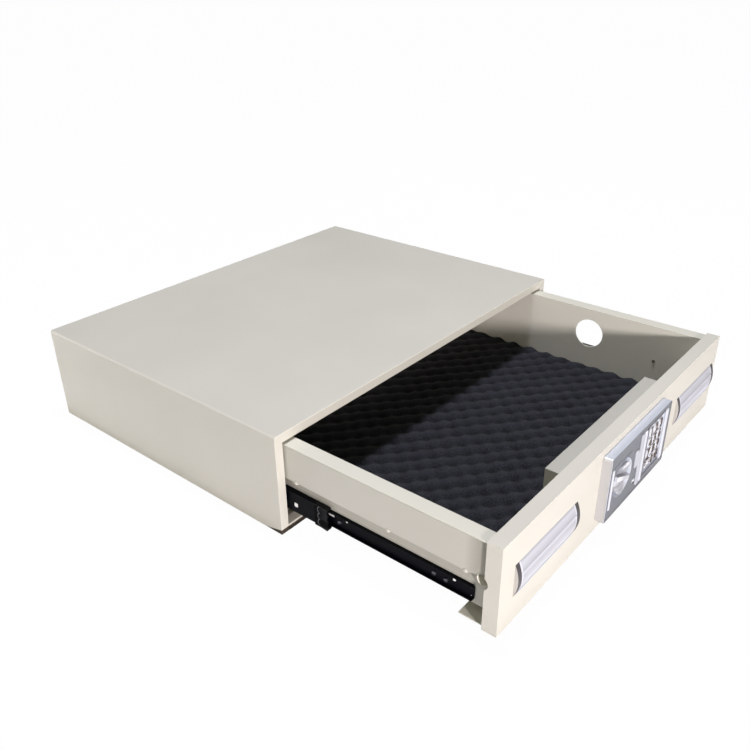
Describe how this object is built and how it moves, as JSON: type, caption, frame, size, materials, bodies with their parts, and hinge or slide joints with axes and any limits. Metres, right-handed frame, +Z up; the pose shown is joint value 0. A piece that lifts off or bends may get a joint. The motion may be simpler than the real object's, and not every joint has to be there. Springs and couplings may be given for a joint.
{
  "type": "under-bed safe",
  "caption": "Low steel drawer safe for under a bed, with a foam-lined drawer on ball slides, a keypad and turn-knob lock with side bolts, and flap pull handles.",
  "frame": {"origin": "on the floor under the middle of the case, which is also the centre of the floor anchor pattern", "axes": "+Y from the front of the case to its back, +X to the right seen from the front, +Z up"},
  "size_m": [0.6, 0.7465, 0.136],
  "materials": {
    "cream_enamel": "matt powder coat",
    "black_steel": "semi-gloss black coat",
    "bare_steel": "bright zinc",
    "foot_rubber": "matt",
    "foam": "open-cell foam",
    "silver_plastic": "satin metallic paint",
    "key_plastic": "satin metallic paint with dark printed figures",
    "plum_plastic": "satin",
    "black_plastic": "satin",
    "lamp_lens": "clear",
    "board": "solder mask",
    "cell_wrap": "printed wrap"
  },
  "bodies": {
    "case": {"case_sleeve": "cream_enamel", "case_back": "cream_enamel", "case_base": "cream_enamel", "foot_strips": "foot_rubber", "slide_brackets_left": "cream_enamel", "slide_brackets_right": "cream_enamel", "slide_case_member_left": "black_steel", "slide_case_member_right": "black_steel"},
    "drawer": {"drawer_tray": "cream_enamel", "drawer_skin_left": "cream_enamel", "drawer_skin_right": "cream_enamel", "skin_rivets": "cream_enamel", "tray_wall_screws": "black_steel", "foam_liner": "foam", "slide_drawer_member_left": "black_steel", "slide_drawer_member_right": "black_steel", "panel_shell": "cream_enamel", "panel_back_plate": "cream_enamel", "lock_cover": "cream_enamel", "bolt_cover_left": "cream_enamel", "bolt_cover_right": "cream_enamel", "lock_housing": "silver_plastic", "keypad_plate": "silver_plastic", "signal_lamp": "lamp_lens", "solenoid": "bare_steel", "circuit_board": "board", "battery_holder": "black_plastic", "batteries": "cell_wrap", "handle_cups": "silver_plastic", "handle_pulls": "silver_plastic", "handle_cheeks": "plum_plastic"},
    "slide_middle_left": {"slide_middle_member_left": "black_steel", "slide_guard_left": "black_plastic"},
    "slide_middle_right": {"slide_middle_member_right": "black_steel", "slide_guard_right": "black_plastic"},
    "knob": {"turn_knob": "silver_plastic", "spindle": "bare_steel", "crank_disc": "bare_steel"},
    "bolt_left": {"bolt_left": "bare_steel"},
    "bolt_right": {"bolt_right": "bare_steel"},
    "plunger": {"solenoid_plunger": "bare_steel"},
    "flap_left": {"handle_flap_left": "silver_plastic"},
    "flap_right": {"handle_flap_right": "silver_plastic"},
    "ball_cage_outer_left": {"ball_cage_outer_left": "bare_steel"},
    "ball_cage_inner_left": {"ball_cage_inner_left": "bare_steel"},
    "ball_cage_outer_right": {"ball_cage_outer_right": "bare_steel"},
    "ball_cage_inner_right": {"ball_cage_inner_right": "bare_steel"},
    "key_1": {"key_1": "key_plastic"},
    "key_2": {"key_2": "key_plastic"},
    "key_3": {"key_3": "key_plastic"},
    "key_4": {"key_4": "key_plastic"},
    "key_5": {"key_5": "key_plastic"},
    "key_6": {"key_6": "key_plastic"},
    "key_7": {"key_7": "key_plastic"},
    "key_8": {"key_8": "key_plastic"},
    "key_9": {"key_9": "key_plastic"},
    "key_star": {"key_star": "key_plastic"},
    "key_0": {"key_0": "key_plastic"},
    "key_hash": {"key_hash": "key_plastic"}
  },
  "joints": [
    {"name": "drawer_slide", "type": "slide", "parent": "case", "child": "drawer", "axis": [0, 1, 0], "range_m": [-0.116, 0.284]},
    {"name": "slide_middle_left_travel", "type": "slide", "parent": "case", "child": "slide_middle_left", "axis": [0, 1, 0], "range_m": [-0.03686, 0.08994]},
    {"name": "ball_cage_outer_left_travel", "type": "slide", "parent": "case", "child": "ball_cage_outer_left", "axis": [0, 1, 0], "range_m": [-0.01853, 0.04507]},
    {"name": "ball_cage_inner_left_travel", "type": "slide", "parent": "case", "child": "ball_cage_inner_left", "axis": [0, 1, 0], "range_m": [-0.07653, 0.18707]},
    {"name": "slide_middle_right_travel", "type": "slide", "parent": "case", "child": "slide_middle_right", "axis": [0, 1, 0], "range_m": [-0.03686, 0.08994]},
    {"name": "ball_cage_outer_right_travel", "type": "slide", "parent": "case", "child": "ball_cage_outer_right", "axis": [0, 1, 0], "range_m": [-0.01853, 0.04507]},
    {"name": "ball_cage_inner_right_travel", "type": "slide", "parent": "case", "child": "ball_cage_inner_right", "axis": [0, 1, 0], "range_m": [-0.07653, 0.18707]},
    {"name": "bolt_left_throw", "type": "slide", "parent": "drawer", "child": "bolt_left", "axis": [-1, 0, 0], "range_m": [0, 0.02404]},
    {"name": "bolt_right_throw", "type": "slide", "parent": "drawer", "child": "bolt_right", "axis": [1, 0, 0], "range_m": [0, 0.0241]},
    {"name": "knob_turn", "type": "hinge", "parent": "drawer", "child": "knob", "pos_m": [-0.041, -0.509, 0.07], "axis": [0, -1, 0], "range_deg": [0, 90]},
    {"name": "plunger_stroke", "type": "slide", "parent": "drawer", "child": "plunger", "axis": [-1, 0, 0], "range_m": [0, 0.0045], "stiffness_N_per_m": 60},
    {"name": "key_1_press", "type": "slide", "parent": "drawer", "child": "key_1", "axis": [0, 1, 0], "range_m": [0, 0.0012], "stiffness_N_per_m": 400},
    {"name": "key_2_press", "type": "slide", "parent": "drawer", "child": "key_2", "axis": [0, 1, 0], "range_m": [0, 0.0012], "stiffness_N_per_m": 400},
    {"name": "key_3_press", "type": "slide", "parent": "drawer", "child": "key_3", "axis": [0, 1, 0], "range_m": [0, 0.0012], "stiffness_N_per_m": 400},
    {"name": "key_4_press", "type": "slide", "parent": "drawer", "child": "key_4", "axis": [0, 1, 0], "range_m": [0, 0.0012], "stiffness_N_per_m": 400},
    {"name": "key_5_press", "type": "slide", "parent": "drawer", "child": "key_5", "axis": [0, 1, 0], "range_m": [0, 0.0012], "stiffness_N_per_m": 400},
    {"name": "key_6_press", "type": "slide", "parent": "drawer", "child": "key_6", "axis": [0, 1, 0], "range_m": [0, 0.0012], "stiffness_N_per_m": 400},
    {"name": "key_7_press", "type": "slide", "parent": "drawer", "child": "key_7", "axis": [0, 1, 0], "range_m": [0, 0.0012], "stiffness_N_per_m": 400},
    {"name": "key_8_press", "type": "slide", "parent": "drawer", "child": "key_8", "axis": [0, 1, 0], "range_m": [0, 0.0012], "stiffness_N_per_m": 400},
    {"name": "key_9_press", "type": "slide", "parent": "drawer", "child": "key_9", "axis": [0, 1, 0], "range_m": [0, 0.0012], "stiffness_N_per_m": 400},
    {"name": "key_star_press", "type": "slide", "parent": "drawer", "child": "key_star", "axis": [0, 1, 0], "range_m": [0, 0.0012], "stiffness_N_per_m": 400},
    {"name": "key_0_press", "type": "slide", "parent": "drawer", "child": "key_0", "axis": [0, 1, 0], "range_m": [0, 0.0012], "stiffness_N_per_m": 400},
    {"name": "key_hash_press", "type": "slide", "parent": "drawer", "child": "key_hash", "axis": [0, 1, 0], "range_m": [0, 0.0012], "stiffness_N_per_m": 400},
    {"name": "flap_left_swing", "type": "hinge", "parent": "drawer", "child": "flap_left", "pos_m": [-0.196, -0.51126, 0.0712], "axis": [1, 0, 0], "range_deg": [0, 30], "stiffness_Nm_per_rad": 0.02},
    {"name": "flap_right_swing", "type": "hinge", "parent": "drawer", "child": "flap_right", "pos_m": [0.21, -0.51126, 0.0712], "axis": [1, 0, 0], "range_deg": [0, 30], "stiffness_Nm_per_rad": 0.02}
  ],
  "couplings": [
    {"joint": "slide_middle_left_travel", "follows": "drawer_slide", "ratio": 0.316},
    {"joint": "ball_cage_outer_left_travel", "follows": "drawer_slide", "ratio": 0.158},
    {"joint": "ball_cage_inner_left_travel", "follows": "drawer_slide", "ratio": 0.658},
    {"joint": "slide_middle_right_travel", "follows": "drawer_slide", "ratio": 0.316},
    {"joint": "ball_cage_outer_right_travel", "follows": "drawer_slide", "ratio": 0.158},
    {"joint": "ball_cage_inner_right_travel", "follows": "drawer_slide", "ratio": 0.658},
    {"joint": "bolt_right_throw", "follows": "bolt_left_throw", "ratio": 1},
    {"joint": "knob_turn", "follows": "bolt_left_throw", "rad_per_m": 65.337}
  ]
}
